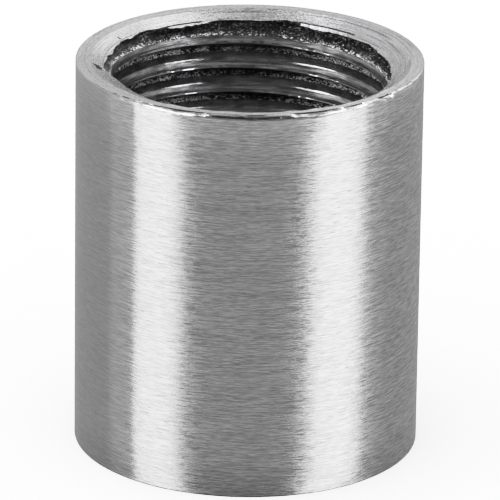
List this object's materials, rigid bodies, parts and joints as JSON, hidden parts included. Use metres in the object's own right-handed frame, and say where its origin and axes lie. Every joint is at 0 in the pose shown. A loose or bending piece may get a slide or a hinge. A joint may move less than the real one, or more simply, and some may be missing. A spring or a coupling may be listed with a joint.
{
  "type": "pipe coupling",
  "caption": "Plain round stainless pipe coupling, a short smooth sleeve with one parallel pipe thread right through and a countersink at each mouth.",
  "frame": {"origin": "on the axis, at the bottom end face", "axes": "+Z along the axis of the coupling, out of its upper mouth. +X is a free choice, because the outside is round"},
  "size_m": [0.0242, 0.0242, 0.028],
  "materials": {
    "stainless": "circumferentially brushed"
  },
  "bodies": {
    "root": {"coupling_body": "stainless"}
  },
  "joints": []
}
